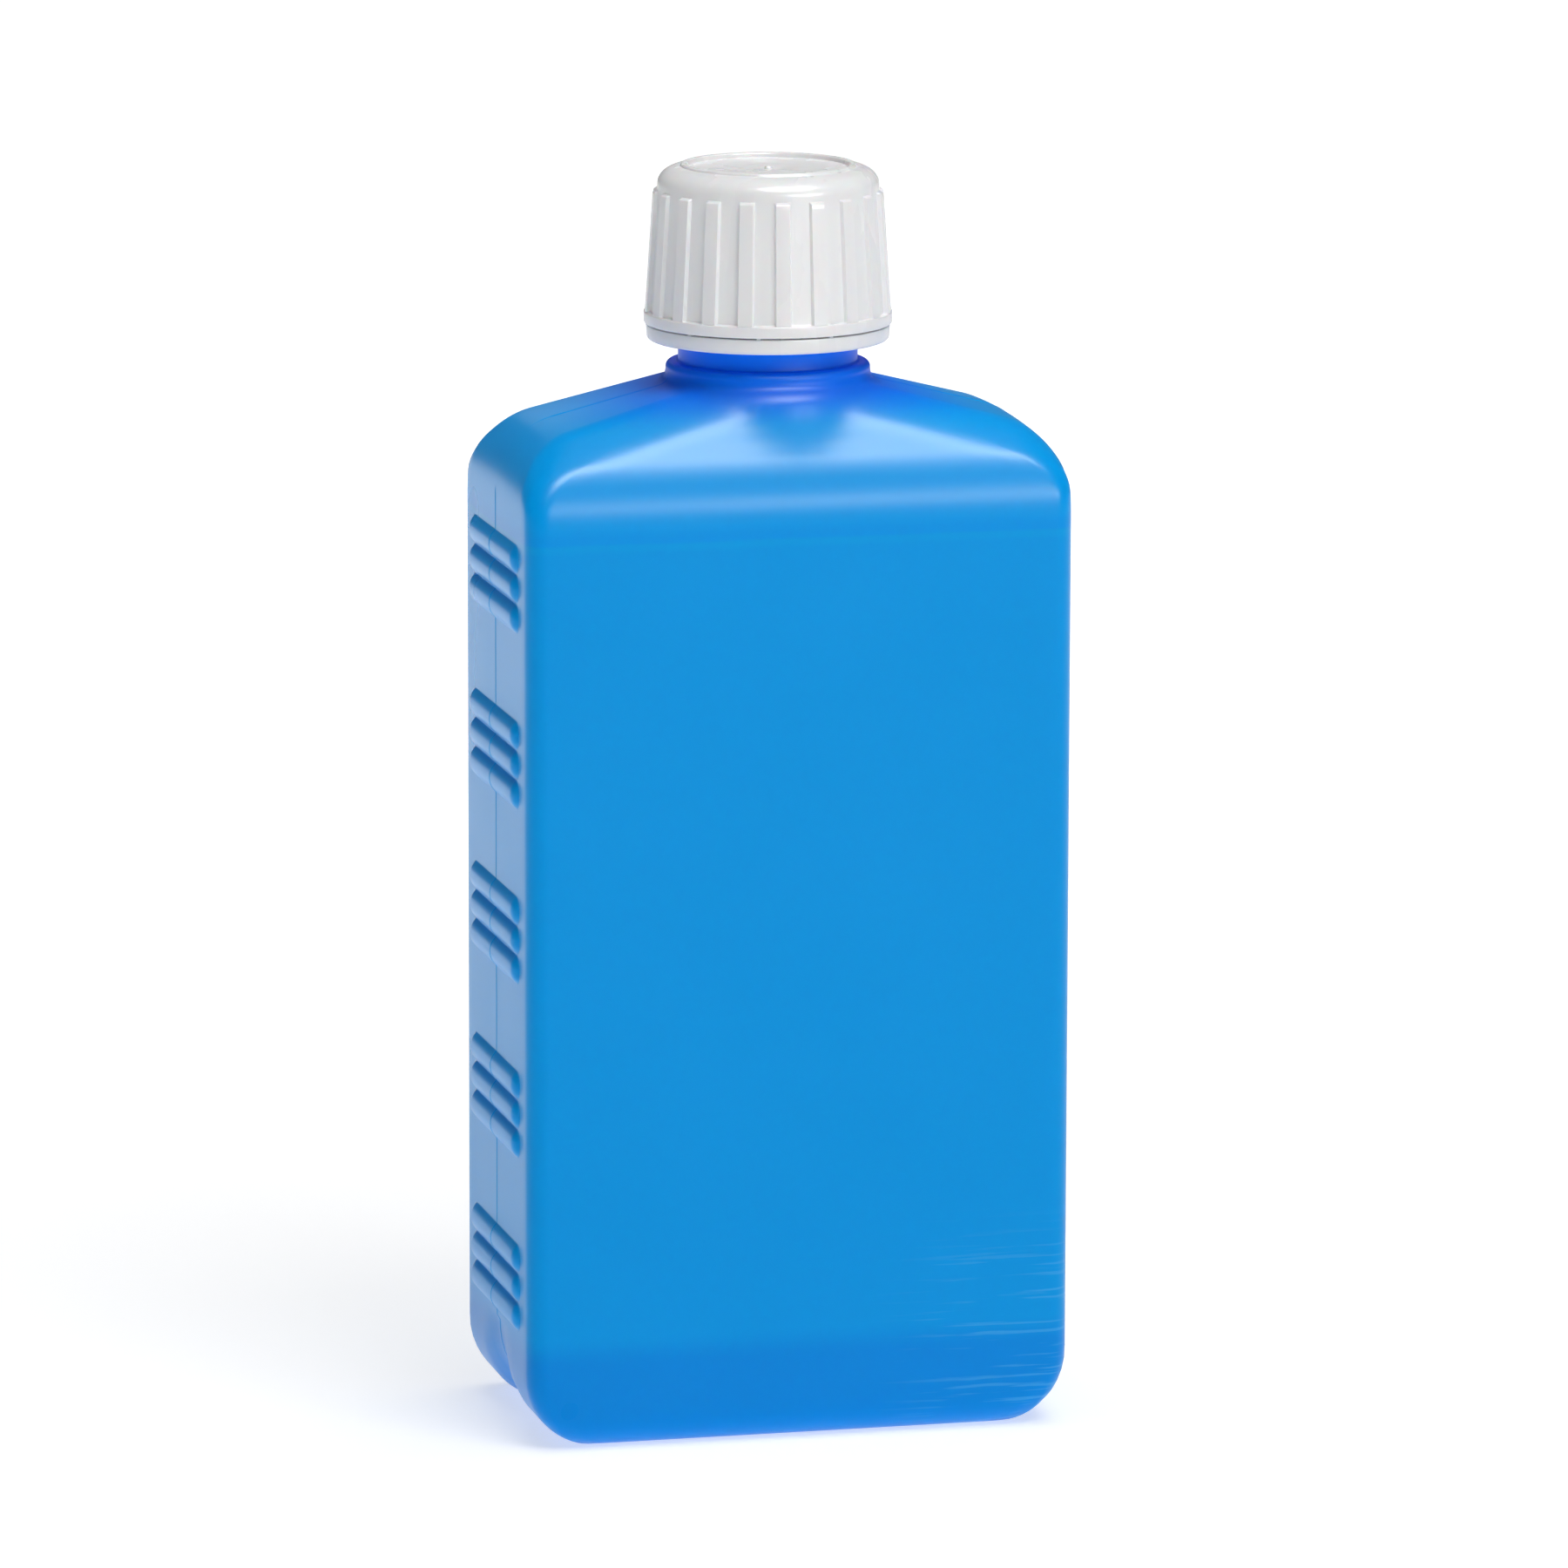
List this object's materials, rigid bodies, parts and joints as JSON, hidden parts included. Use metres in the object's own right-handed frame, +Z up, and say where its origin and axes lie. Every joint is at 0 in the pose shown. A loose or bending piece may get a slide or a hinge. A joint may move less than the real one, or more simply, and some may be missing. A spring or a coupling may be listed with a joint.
{
  "type": "reagent bottle with screw cap",
  "caption": "Rectangular translucent plastic bottle with raised finger ribs on its narrow sides, a short neck and a ribbed tamper-evident screw cap, holding a liquid.",
  "frame": {"origin": "on the ground under the neck axis, at the centre of the base", "axes": "+Z up along the neck axis, +X across the broad face, -Y out of the front face"},
  "size_m": [0.0872, 0.0466, 0.1938],
  "materials": {
    "blue_polyethylene": "satin",
    "clear_liquid": "gloss",
    "liner_foam": "matte",
    "white_polypropylene": "gloss",
    "band_polypropylene": "gloss"
  },
  "bodies": {
    "bottle": {"bottle": "blue_polyethylene", "liquid": "clear_liquid"},
    "liner": {"cap_liner": "liner_foam"},
    "cap": {"screw_cap": "white_polypropylene"},
    "band": {"tamper_band": "band_polypropylene"}
  },
  "joints": [
    {"name": "cap_rise", "type": "slide", "parent": "bottle", "child": "liner", "axis": [0, 0, 1], "range_m": [0, 0.022]},
    {"name": "cap_turn", "type": "hinge", "parent": "liner", "child": "cap", "pos_m": [0, 0, 0.18], "axis": [0, 0, 1], "range_deg": [0, 1980]},
    {"name": "band_turn", "type": "hinge", "parent": "bottle", "child": "band", "pos_m": [0, 0, 0.168], "axis": [0, 0, 1], "continuous": true}
  ],
  "couplings": [
    {"joint": "cap_rise", "follows": "cap_turn", "m_per_rad": 0.00063662}
  ]
}
